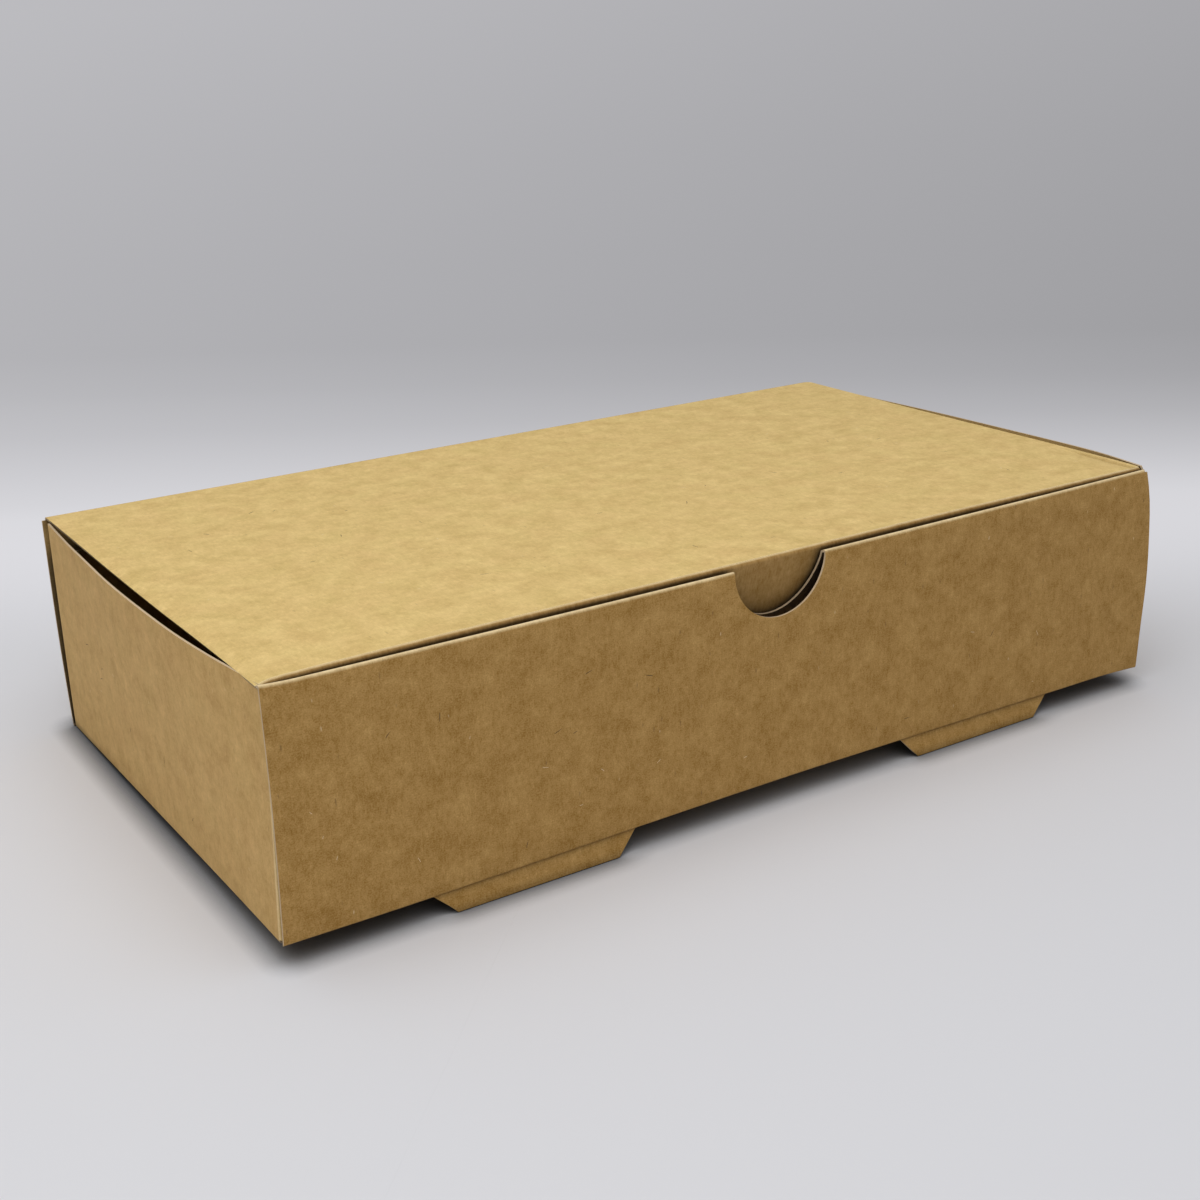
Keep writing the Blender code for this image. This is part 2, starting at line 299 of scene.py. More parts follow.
@dataclass(frozen=True)
class Settling:
    """How far the hand-folded board has settled out of true."""

    plan: Plan
    front_bow: float = 0.78 * MM
    inner_bulge: float = 4.0 * MM
    left_top: Profile = Profile.of(
        (-64, -1.3), (-57.6, -1.15), (-50, -0.35), (-40, 0.7), (-25, 1.7), (-5, 2.05), (12, 1.95), (32, 1.1),
        (49, 0.35), (60, -0.1),
    )
    foot_line: Profile = Profile.of((-62, -0.05), (-40, -0.1), (-10, -0.15), (30, -0.2), (60, -0.2))
    side_sag: float = 0.05 * MM
    back_bow: float = 1.1 * MM
    corner_reach: float = 8 * MM
    corner_lift: float = 0.4 * MM
    fade: float = 40 * MM
    foot: Profile = Profile.of(
        (-114.5, -0.4), (-88, -0.5), (-26, 0.17), (6, 0.34), (24, 0.23), (89, -0.37), (103, -0.46),
        (114.5, -1.0),
    )
    right_end: Profile = Profile.of((0, 0.6), (14, 1.3), (29, 2.1), (44, 1.25), (50, 0.3), (56, -1.4))
    right_top: Profile = Profile.of(
        (-62, 0.4), (-46, 1.9), (-30, 2.05), (-13, 2.0), (9, 1.8), (30, 1.3), (48, 0.6), (60, -0.1),
    )
    left_rise: Profile = Profile.of((-62, -0.3), (-50, -0.5), (40, -0.5), (52, -0.1), (60, 0.35))
    right_rise: Profile = Profile.of((-62, 0.55), (-46, 0.7), (-20, 0.6), (10, 0.45), (35, 0.2), (60, 0))
    corner_belly: float = 0.35 * MM
    end_along: float = 0.62
    end_forward: float = 0.3
    end_power: int = 5
    lift_power: int = 8
    top_power: float = 1.3
    lid_droop: Profile = Profile.of(
        (-114, 0.65), (-106, 0.36), (-98, 0.2), (-69, 0), (40, 0), (92, 0.4), (114, 0.45),
    )
    lid_reach: Profile = Profile.of(
        (-114, -0.2), (-105, -0.05), (-95, 0.05), (-50, 0.15), (-20, 0.3), (20, 0.25), (50, 0.1), (70, -0.05),
        (92, -0.2), (114, -0.2),
    )
    lid_curl: Profile = Profile.of((-60, 0.75), (-40, 0.85), (-10, 0.95), (20, 0.6), (42, 0.2), (60, 0))
    curl_width: float = 3.5 * MM
    lid_spread: float = 0.5 * MM

    def front_offset(self, x: float, z: float) -> Vector:
        """How far a point of the front roll has moved.

        Args:
            x: Its place along the carton.
            z: Its height.

        Returns:
            The move.
        """
        plan = self.plan
        share = clamp(x / plan.half_length, -1, 1)
        height = clamp((z - plan.underside) / (plan.ridge_top - plan.underside))
        end = max(share, 0) ** self.end_power * self.right_end.at(z)
        out = self.front_bow * (1 - share**2) * height + self.end_forward * end
        near = clamp((-x - plan.half_length) / self.corner_reach + 1) ** 2
        lift = self.corner_lift * near * height**self.lift_power
        inward = self.corner_belly * max(-share, 0) ** self.end_power * math.sin(math.pi * height)
        rise = self.foot.at(x) * (1 - height) ** 2 + lift
        return Vector((self.end_along * end + inward, -out, rise))

    def base_rise(self, x: float, y: float) -> float:
        """How far the base has risen above its level.

        Args:
            x: The place along the carton.
            y: The place across it.

        Returns:
            The rise.
        """
        plan = self.plan
        near = clamp(1 - (y - plan.front) / self.fade) ** 2
        low, high = plan.front_corner, plan.rear_corner
        across = clamp((2 * y - low - high) / (high - low), -1, 1)
        return self.foot.at(x) * near - self.side_sag * (1 - across**2) * (x / plan.half_length) ** 4

    def base(self, x: float, y: float, z: float) -> Vector:
        """Settles a point of the base, which follows the walls' feet.

        Args:
            x: Its place along the carton.
            y: Its place across the carton.
            z: Its height.

        Returns:
            The settled point.
        """
        moved = self.side_offset(Side.LEFT if x < 0 else Side.RIGHT, y, z)
        share = abs(x / self.plan.half_length) ** self.end_power
        return Vector((x + moved.x * share, y + moved.y * share, z + self.base_rise(x, y)))

    def side_offset(self, side: Side, y: float, z: float) -> Vector:
        """How far a point of a side wall has moved.

        Args:
            side: The wall's end of the carton.
            y: Its place across the carton.
            z: Its height.

        Returns:
            The move.
        """
        plan = self.plan
        height = clamp((z - plan.underside) / (plan.side_top - plan.underside))
        bow = self.foot_line.at(y) * (1 - height) ** 2
        left = side is Side.LEFT
        top, lift = (self.left_top, self.left_rise) if left else (self.right_top, self.right_rise)
        bow += top.at(y) * height**self.top_power
        near = clamp(1 - (y - plan.front_corner) / self.fade) ** 2
        x = side.value * plan.half_length
        corner = self.front_offset(x, z) * near
        rise = self.base_rise(x, y) * (1 - height) + lift.at(y) * height
        return Vector((side.value * bow + corner.x, corner.y, rise))

    def back_wall(self, x: float, y: float, z: float) -> Vector:
        """Settles a point of the back wall, which bows outwards, most below its middle.

        Args:
            x: Its place along the carton.
            y: Its place across the carton.
            z: Its height.

        Returns:
            The settled point.
        """
        plan = self.plan
        height = clamp((z - plan.base_axis[1]) / (plan.lid_axis[1] - plan.base_axis[1]))
        bow = self.back_bow * math.sin(math.pi * height) * (1.3 - 0.6 * height)
        side = self.base_rise(x, y) * (1 - height)
        return Vector((x, y + bow, z + side))

    def lid(self, x: float, y: float, z: float, front: float) -> Vector:
        """A settled point of the lid or its tuck flap.

        Args:
            x: Its place along the carton.
            y: Its place across the carton.
            z: Its height.
            front: Where the lid's front fold starts.

        Returns:
            The settled point.
        """
        near = clamp(1 - (y - front) / self.fade) ** 2
        edge = clamp((self.curl_width - self.plan.lid_half - x) / self.curl_width) ** 2
        drop = max(self.lid_droop.at(x), 0.0) * near + self.lid_curl.at(y) * edge
        out = self.lid_spread * near * clamp((x - self.plan.lid_half) / self.corner_reach + 1)
        return Vector((x + out, y - self.lid_reach.at(x) * near, z - drop))


class Graph:
    """Adds nodes and links to a node tree in few words."""

    def __init__(self, tree: Tree) -> None:
        """Keeps the tree that nodes are added to."""
        self.tree = tree

    def add(self, kind: str, inputs: Optional[dict] = None, **settings: object) -> Node:
        """Adds a node.

        Args:
            kind: The node's type name.
            inputs: Socket name or number, and a value or another node's output socket.
            settings: The node's own properties.

        Returns:
            The new node.
        """
        node = self.tree.nodes.new(kind)
        for name, value in settings.items():
            setattr(node, name, value)
        for key, value in (inputs or {}).items():
            if isinstance(value, Socket):
                self.link(value, node, key)
            else:
                node.inputs[key].default_value = value
        return node

    def math(self, operation: str, *values: object, **settings: object) -> Socket:
        """Adds a math node of numbers and sockets, and gives its output socket."""
        node = self.add("ShaderNodeMath", dict(enumerate(values)), operation=operation, **settings)
        return node.outputs[0]

    def vector(self, operation: str, *values: object, scale: object = None) -> Socket:
        """Adds a vector math node.

        Args:
            operation: What it does.
            values: Its vectors or other nodes' output sockets.
            scale: The number or socket that it scales by, if it scales.

        Returns:
            Its output socket.
        """
        inputs = dict(enumerate(values))
        if scale is not None:
            inputs["Scale"] = scale
        node = self.add("ShaderNodeVectorMath", inputs, operation=operation)
        return node.outputs["Value" if operation in NUMBER_RESULTS else "Vector"]

    def remap(self, value: Socket, *bounds: float, smooth: bool = False) -> Socket:
        """Maps a value from one range to another.

        Args:
            value: The value.
            bounds: Both ends of its range, then both ends of the new one.
            smooth: Whether it eases in and out.

        Returns:
            The mapped value.
        """
        inputs = {"Value": value, **dict(enumerate(bounds, 1))}
        kind = "SMOOTHSTEP" if smooth else "LINEAR"
        return self.add("ShaderNodeMapRange", inputs, interpolation_type=kind).outputs[0]

    def link(self, socket: Socket, node: Node, name: object) -> None:
        """Leads a socket into a node's input of that name or number."""
        self.tree.links.new(socket, node.inputs[name])


def shaded(name: str) -> tuple[Material, Graph, Node]:
    """Starts a material.

    Args:
        name: Its name.

    Returns:
        The material, its graph and its shader.
    """
    made = bpy.data.materials.new(name)
    made.use_nodes = True
    return made, Graph(made.node_tree), made.node_tree.nodes["Principled BSDF"]


def paint_shade_in_recesses(graph: Graph, body: object, reach: float, depth: float) -> Socket:
    """Paints shade into a colour: darkens it by ambient occlusion where something closes over it within a
    short reach, as beside a fold.
    """
    seen = graph.add("ShaderNodeAmbientOcclusion", {"Distance": reach}, samples=8).outputs["AO"]
    return graph.vector("SCALE", body, scale=graph.math("POWER", seen, depth))


@dataclass(frozen=True)
class KraftFinish:
    """Uncoated kraft board: clouded tones, fine fibres, flecks, pale crease bands of wear with a painted
    highlight, and painted shade in dark bands and beside folds.
    """

    colour: Colour
    warm: Colour
    grain: Flat = (1.0, 0.3)
    contrast: float = 0.5
    warmth: float = 0.3
    streak: float = 0.08
    fine: float = 0.12
    marks: float = 0.3
    relief: float = 0.5
    roughness: float = 0.8
    # Bands along the blank in the band colour: pale bands are crease wear with a painted highlight, a dark
    # band is painted shade.
    creases: tuple[float, ...] = ()
    crease_width: float = 0.45 * MM
    wear_and_painted_light: Colour = (0.80, 0.62, 0.33)
    dark_fleck: Colour = (0.17, 0.095, 0.035)
    light_fleck: Colour = (0.85, 0.70, 0.45)
    # How far and how strongly painted shade darkens the colour where board closes over it.
    painted_shade_reach: float = 2.5 * MM
    painted_shade_depth: float = 1.2
    cloud_scale: float = 150.0
    warm_scale: float = 110.0
    streak_scale: float = 1500.0
    fine_scale: float = 3200.0
    relief_scale: float = 2200.0
    bend_scale: float = 700.0
    tone_weight: float = 0.76
    tone_power: float = 0.58
    stain: float = 0.8
    # How strongly the bands, painted light included, cover the colour.
    wear: float = 0.85

    def material(self, name: str) -> Material:
        """Builds the finish's material.

        Args:
            name: The material's name.

        Returns:
            The material.
        """
        made, graph, shader = shaded(name)
        flat = graph.add("ShaderNodeUVMap", uv_map=BLANK).outputs[0]

        def stretched(scale: float) -> Socket:
            """Coordinates in which fibres of the grain's proportions are square."""
            size = (scale * self.grain[0], scale * self.grain[1], 1.0)
            return graph.vector("MULTIPLY", flat, size)

        def noise(vector: Socket, scale: float, detail: float, rough: float = 0.6) -> Socket:
            """A cloud pattern from -1 to 1."""
            inputs = {"Vector": vector, "Scale": scale, "Detail": detail, "Roughness": rough}
            return graph.math("MULTIPLY_ADD", graph.add("ShaderNodeTexNoise", inputs).outputs[0], 2.0, -1.0)

        def mix(mask: Socket, below: object, colour: Colour) -> Socket:
            """A colour laid over another by a mask."""
            inputs = {0: mask, 6: below, 7: (*colour, 1.0)}
            return graph.add("ShaderNodeMix", inputs, data_type="RGBA").outputs[2]

        def flecks(scale: float, share: float, size: float) -> Socket:
            """Sparse, short, bent marks along the grain.

            Args:
                scale: How many cells for marks there are to a metre.
                share: The share of the cells that hold a mark.
                size: A mark's half width, as a share of its cell.

            Returns:
                A mask from 0 to 1.
            """
            inputs = {"Vector": flat, "Scale": self.bend_scale, "Detail": 1.0}
            warp = graph.add("ShaderNodeTexNoise", inputs).outputs[1]
            bent = graph.vector("MULTIPLY_ADD", warp, (0.5, 0.5, 0.0), stretched(scale))
            cells = graph.add("ShaderNodeTexVoronoi", {"Vector": bent, "Scale": 1.0})
            chosen = graph.math("GREATER_THAN", cells.outputs["Color"], 1 - share)
            near = graph.remap(cells.outputs["Distance"], size, size * 0.35, 0.0, 1.0)
            return graph.math("MULTIPLY", chosen, near)

        clouds = noise(flat, self.cloud_scale, 6.0, 0.85)
        streak = noise(stretched(self.streak_scale), 1.0, 4.0)
        tone = graph.math("MULTIPLY", clouds, self.contrast)
        tone = graph.math("MULTIPLY_ADD", streak, self.streak, tone)
        tone = graph.math("MULTIPLY_ADD", noise(flat, self.fine_scale, 2.0), self.fine, tone)
        weights = [self.tone_weight * channel**self.tone_power for channel in self.colour]
        warm = noise(flat, self.warm_scale, 1.5)
        warm = graph.math("MULTIPLY_ADD", warm, self.warmth * 2, 0.5, use_clamp=True)
        body = graph.vector("MULTIPLY_ADD", weights, tone, mix(warm, (*self.colour, 1.0), self.warm))
        for scale, share, size, strength, colour in (
            (1500.0, 0.10, 0.34, self.marks, self.dark_fleck),
            (1400.0, 0.006, 0.34, self.stain, self.dark_fleck),
            (1700.0, 0.06, 0.30, self.marks, self.light_fleck),
        ):
            body = mix(graph.math("MULTIPLY", flecks(scale, share, size), strength), body, colour)
        down = graph.add("ShaderNodeSeparateXYZ", {0: flat}).outputs[1]
        # Pale bands are crease wear with a painted highlight; a dark band is painted shade.
        for place in self.creases:
            off = graph.math("ABSOLUTE", graph.math("SUBTRACT", down, place))
            width = self.crease_width
            near = graph.remap(off, width, 0.25 * width, 0.0, self.wear, smooth=True)
            patchy = graph.math("MULTIPLY_ADD", clouds, 0.9, 0.8, use_clamp=True)
            body = mix(graph.math("MULTIPLY", near, patchy), body, self.wear_and_painted_light)
        # Painted shade: the colour is darkened where other board closes over it.
        body = paint_shade_in_recesses(graph, body, self.painted_shade_reach, self.painted_shade_depth)
        graph.link(body, shader, "Base Color")
        height = graph.math("MULTIPLY_ADD", streak, 0.6, noise(flat, self.relief_scale, 4.0, 0.7))
        inputs = {"Strength": self.relief, "Distance": 0.03 * MM, "Height": height}
        graph.link(graph.add("ShaderNodeBump", inputs).outputs[0], shader, "Normal")
        rough = graph.math("MULTIPLY_ADD", clouds, 0.12, self.roughness)
        graph.link(rough, shader, "Roughness")
        shader.inputs["Specular IOR Level"].default_value = 0.3
        return made


@dataclass(frozen=True)
class CutEdgeFinish:
    """The board's raw core where the die has cut it: paler and greyer, with the plies' fine lines and painted
    shade where board closes over it.
    """

    colour: Colour = (0.57, 0.43, 0.27)
    depth: float = 0.16
    painted_shade_reach: float = 2.0 * MM
    painted_shade_depth: float = 1.2
    ply_scale: float = 1100.0

    def material(self, name: str) -> Material:
        """Builds the finish's material.

        Args:
            name: The material's name.

        Returns:
            The material.
        """
        made, graph, shader = shaded(name)
        place = graph.add("ShaderNodeTexCoord").outputs["Object"]
        inputs = {"Vector": place, "Scale": self.ply_scale, "Detail": 4.0}
        plies = graph.add("ShaderNodeTexNoise", inputs).outputs[0]
        tone = graph.math("MULTIPLY_ADD", plies, 2 * self.depth, 1 - self.depth)
        body = graph.vector("SCALE", self.colour, scale=tone)
        # Painted shade where other board closes over the cut edge.
        body = paint_shade_in_recesses(graph, body, self.painted_shade_reach, self.painted_shade_depth)
        graph.link(body, shader, "Base Color")
        bump = graph.add("ShaderNodeBump", {"Strength": 0.5, "Distance": 0.03 * MM, "Height": plies})
        graph.link(bump.outputs[0], shader, "Normal")
        shader.inputs["Roughness"].default_value = 0.9
        return made


class NodeTools:
    """The carton's Geometry Nodes trees, and how a mesh is put through one."""

    @staticmethod
    def tree(name: str, sockets: Sequence[tuple[str, str, object]]) -> Graph:
        """Starts a tree.

        Args:
            name: The tree's name.
            sockets: Name, socket type and default value of each input.

        Returns:
            The tree's graph, with its input and output nodes.
        """
        tree = bpy.data.node_groups.new(name, "GeometryNodeTree")
        for way in ("INPUT", "OUTPUT"):
            tree.interface.new_socket(name="Geometry", in_out=way, socket_type="NodeSocketGeometry")
        for label, kind, value in sockets:
            socket = tree.interface.new_socket(name=label, in_out="INPUT", socket_type=kind)
            if value is not None:
                socket.default_value = value
        graph = Graph(tree)
        graph.source = graph.add("NodeGroupInput")
        graph.sink = graph.add("NodeGroupOutput")
        return graph

    @classmethod
    def board_tree(cls) -> Tree:
        """Gives a folded sheet the board's thickness, with its own material on the cut edges.

        Returns:
            The tree.
        """
        materials = [(f"{part} Material", "NodeSocketMaterial", None) for part in ("Board", "Back", "Cut")]
        graph = cls.tree("board_from_sheet", [("Thickness", "NodeSocketFloat", 0.5 * MM), *materials])
        given = graph.source.outputs
        half = graph.math("MULTIPLY", given["Thickness"], -0.5)
        back = graph.vector("SCALE", graph.add("GeometryNodeInputNormal").outputs[0], scale=half)
        lower = graph.add("GeometryNodeSetPosition", {"Geometry": given["Geometry"], "Offset": back})
        inputs = {"Mesh": lower.outputs[0], "Offset Scale": given["Thickness"], "Individual": False}
        raised = graph.add("GeometryNodeExtrudeMesh", inputs)
        turned = graph.add("GeometryNodeFlipFaces", {"Mesh": lower.outputs[0]})
        inputs = {"Geometry": raised.outputs["Mesh"], "Material": given["Board Material"]}
        faced = graph.add("GeometryNodeSetMaterial", inputs)
        inputs = {"Geometry": faced.outputs[0], "Material": given["Cut Material"]}
        edged = graph.add("GeometryNodeSetMaterial", {**inputs, "Selection": raised.outputs["Side"]})
        inputs = {"Geometry": turned.outputs[0], "Material": given["Back Material"]}
        backed = graph.add("GeometryNodeSetMaterial", inputs)
        joined = graph.add("GeometryNodeJoinGeometry")
        for part in (edged, backed):
            graph.link(part.outputs[0], joined, 0)
        closed = graph.add("GeometryNodeMergeByDistance", {"Geometry": joined.outputs[0], "Distance": HAIR})
        real = graph.add("GeometryNodeRealizeInstances", {"Geometry": closed.outputs[0]})
        graph.link(real.outputs[0], graph.sink, 0)
        return graph.tree

    @classmethod
    def fibre_tree(cls) -> Tree:
        """Strews short, bent fibres over a sheet's outer face.

        Returns:
            The tree.
        """
        graph = cls.tree("stray_fibres", (
            ("Density", "NodeSocketFloat", 900.0),
            ("Fibre Length", "NodeSocketFloat", 1.4 * MM),
            ("Fibre Width", "NodeSocketFloat", 0.12 * MM),
            ("Rise", "NodeSocketFloat", 0.25 * MM),
            ("Seed", "NodeSocketInt", 7),
            ("Fibre Material", "NodeSocketMaterial", None),
        ))
        given = graph.source.outputs
        inputs = {"Mesh": given["Geometry"], "Density": given["Density"], "Seed": given["Seed"]}
        points = graph.add("GeometryNodeDistributePointsOnFaces", inputs)
        lift = graph.vector("SCALE", points.outputs["Normal"], scale=given["Rise"])
        lifted = graph.add("GeometryNodeSetPosition", {"Geometry": points.outputs[0], "Offset": lift})
        inputs = {"Resolution": 6, "Start": (-0.5, 0, 0), "Middle": (0.1, 1.2, 0), "End": (0.5, 0, 0)}
        spine = graph.add("GeometryNodeCurveQuadraticBezier", inputs).outputs[0]
        inputs = {"Resolution": 5, "Radius": 0.5}
        ring = graph.add("GeometryNodeCurvePrimitiveCircle", inputs).outputs[0]
        thin = graph.add("GeometryNodeInputIndex").outputs[0]
        ends = graph.math("MULTIPLY", graph.math("SUBTRACT", thin, 2.5), 0.36)
        taper = graph.math("SUBTRACT", 1.0, graph.math("MULTIPLY", ends, ends))
        inputs = {"Curve": spine, "Profile Curve": ring, "Scale": taper, "Fill Caps": True}
        strand = graph.add("GeometryNodeCurveToMesh", inputs)
        inputs = {"Min": (0, 0, 0), "Max": (0, 0, math.tau), "Seed": given["Seed"]}
        spin = graph.add("FunctionNodeRandomValue", inputs, data_type="FLOAT_VECTOR").outputs[0]
        inputs = {0: points.outputs["Rotation"], 1: spin}
        turned = graph.add("FunctionNodeRotateRotation", inputs, rotation_space="LOCAL").outputs[0]
        inputs = {2: 0.5, 3: 1.5, "Seed": given["Seed"]}
        size = graph.add("FunctionNodeRandomValue", inputs, data_type="FLOAT").outputs[1]
        length = graph.math("MULTIPLY", size, given["Fibre Length"])
        width = given["Fibre Width"]
        inputs = {0: length, 1: width, 2: graph.math("MULTIPLY", width, 0.3)}
        scale = graph.add("ShaderNodeCombineXYZ", inputs).outputs[0]
        inputs = {
            "Points": lifted.outputs[0], "Instance": strand.outputs[0], "Rotation": turned, "Scale": scale,
        }
        strewn = graph.add("GeometryNodeInstanceOnPoints", inputs)
        real = graph.add("GeometryNodeRealizeInstances", {"Geometry": strewn.outputs[0]})
        inputs = {"Geometry": real.outputs[0], "Material": given["Fibre Material"]}
        coloured = graph.add("GeometryNodeSetMaterial", inputs)
        graph.link(coloured.outputs[0], graph.sink, 0)
        return graph.tree

    @staticmethod
    def bake(piece: Object, tree: Tree, values: dict[str, object]) -> None:
        """Puts an object's mesh through a tree and keeps the plain result.

        Args:
            piece: The object, which keeps its name.
            tree: The Geometry Nodes tree.
            values: The tree's inputs by their names.
        """
        modifier = piece.modifiers.new(tree.name, "NODES")
        modifier.node_group = tree
        for item in tree.interface.items_tree:
            if item.in_out == "INPUT" and item.name in values:
                modifier[item.identifier] = values[item.name]
        piece.update_tag()
        graph = bpy.context.evaluated_depsgraph_get()
        result = bpy.data.meshes.new_from_object(piece.evaluated_get(graph))
        old = piece.data
        piece.modifiers.clear()
        piece.data = result
        result.name = piece.name
        bpy.data.meshes.remove(old)


@dataclass(frozen=True)
class Fibre:
    """A kind of loose fibre pressed into the board's face."""

    name: str
    finish: Material
    density: float
    length: float
    width: float
    seed: int


@dataclass
class Board:
    """The stock that every panel is cut from, and the making of its pieces."""

    plan: Plan
    tree: Tree = field(default_factory=NodeTools.board_tree)
    fibres: Tree = field(default_factory=NodeTools.fibre_tree)
    cut: Material = field(default_factory=lambda: CutEdgeFinish().material("cut_board"))
    sharp: float = math.radians(40)
    fibre_sink: float = 0.01 * MM

    @staticmethod
    def skin(name: str, columns: Sequence[Column]) -> Object:
        """Makes an open sheet from columns of points, with gaps where a point is missing.

        Args:
            name: The object's name.
            columns: Points of the middle surface with their places on the flat blank.

        Returns:
            The sheet.
        """
        grid = bmesh.new()
        layer = grid.loops.layers.uv.new(BLANK)
        made = [[spot and grid.verts.new(spot[0]) for spot in column] for column in columns]
        pairs = [pair for row, column in zip(made, columns) for pair in zip(row, column)]
        flat = {vert: spot[1] for vert, spot in pairs if vert}
        for near, far in zip(made, made[1:]):
            for i in range(min(len(near), len(far)) - 1):
                corners = (near[i], far[i], far[i + 1], near[i + 1])
                if all(corners):
                    face = grid.faces.new(corners)
                    for loop in face.loops:
                        loop[layer].uv = flat[loop.vert]
        bmesh.ops.recalc_face_normals(grid, faces=grid.faces)
        mesh = bpy.data.meshes.new(name)
        grid.to_mesh(mesh)
        grid.free()
        return placed(name, mesh)

    def panel(
        self, name: str, columns: Sequence[Column], finish: Material, slot: str,
        back: Optional[Material] = None, cut: Optional[Material] = None,
    ) -> Object:
        """Makes a panel of board.

        Args:
            name: The piece's name.
            columns: Points of its middle surface with their places on the flat blank.
            finish: The material of its faces.
            slot: The record's material slot; not used.
            back: The material of the face that looks away from the sheet's normals, if it differs.
            cut: The material of its cut edges, if it differs.

        Returns:
            The panel.
        """
        piece = self.skin(name, columns)
        NodeTools.bake(piece, self.tree, {
            "Thickness": self.plan.board, "Board Material": finish, "Back Material": back or finish,
            "Cut Material": cut or self.cut,
        })
        closed = bmesh.new()
        closed.from_mesh(piece.data)
        bmesh.ops.recalc_face_normals(closed, faces=closed.faces)
        closed.to_mesh(piece.data)
        closed.free()
        piece.data.shade_smooth()
        piece.data.set_sharp_from_angle(angle=self.sharp)
        LOG.info("%s: %d faces", name, len(piece.data.polygons))
        return piece

    def strew(
        self, stem: str, columns: Sequence[Column], facing: Place, slot: str, fibres: Sequence[Fibre]
    ) -> list[Object]:
        """Strews stray fibres over one face of a panel.

        Args:
            stem: How the pieces' names start.
            columns: Points of the panel's middle surface where fibres may lie.
            facing: Roughly where the face looks.
            slot: The record's material slot; not used.
            fibres: The kinds of fibre.

        Returns:
            One piece for each kind.
        """
        pieces = []
        for kind in fibres:
            piece = self.skin(f"{stem}_{kind.name}", columns)
            normals = sum((face.normal for face in piece.data.polygons), Vector())
            outward = 1 if normals.dot(Vector(facing)) > 0 else -1
            NodeTools.bake(piece, self.fibres, {
                "Density": kind.density, "Fibre Length": kind.length, "Fibre Width": kind.width,
                "Rise": outward * (self.plan.board / 2 - self.fibre_sink), "Seed": kind.seed,
                "Fibre Material": kind.finish,
            })
            LOG.info("%s: %d faces", piece.name, len(piece.data.polygons))
            pieces.append(piece)
        return pieces


@dataclass
class Assembly:
    """What each sub-assembly of the carton is made from."""

    plan: Plan
    board: Board
    settling: Settling


